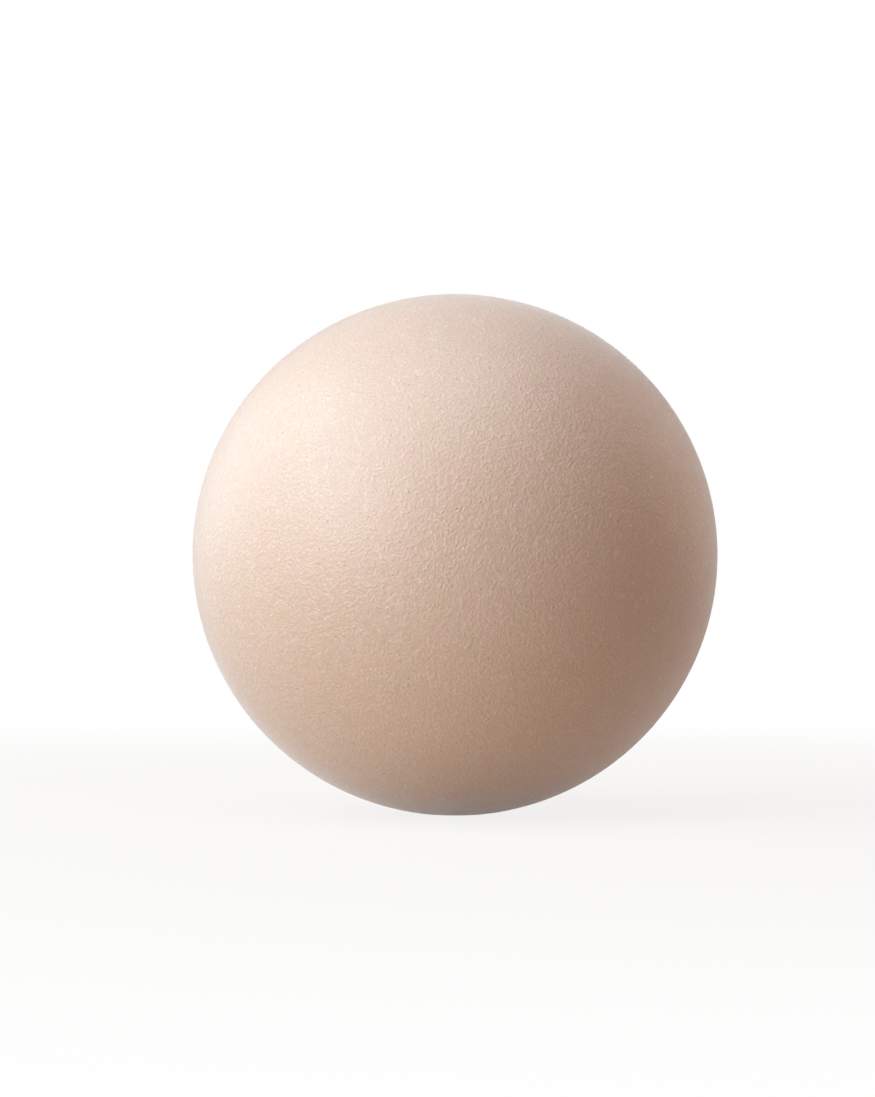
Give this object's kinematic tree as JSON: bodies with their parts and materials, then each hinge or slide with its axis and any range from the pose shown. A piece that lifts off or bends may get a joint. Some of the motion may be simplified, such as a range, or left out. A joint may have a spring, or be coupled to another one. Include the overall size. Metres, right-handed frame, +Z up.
{
  "type": "pilates ball",
  "caption": "Soft inflatable round exercise ball with a fine leather-like grain, shut by a push-in plug in a recessed valve at the back.",
  "frame": {"origin": "on the floor, in the middle of the flat patch under the ball's centre", "axes": "+Z up; -Y out of the plain front; +Y out of the valve at the back, along the plug's axis"},
  "size_m": [0.23, 0.2297, 0.2279],
  "materials": {
    "skin": "matte",
    "seat": "satin",
    "plug": "satin"
  },
  "bodies": {
    "ball": {"ball_skin": "skin", "valve_seat": "seat"},
    "plug": {"valve_plug": "plug"}
  },
  "joints": [
    {"name": "plug_pull", "type": "slide", "parent": "ball", "child": "plug", "axis": [0, 1, 0], "range_m": [0, 0.02]}
  ]
}
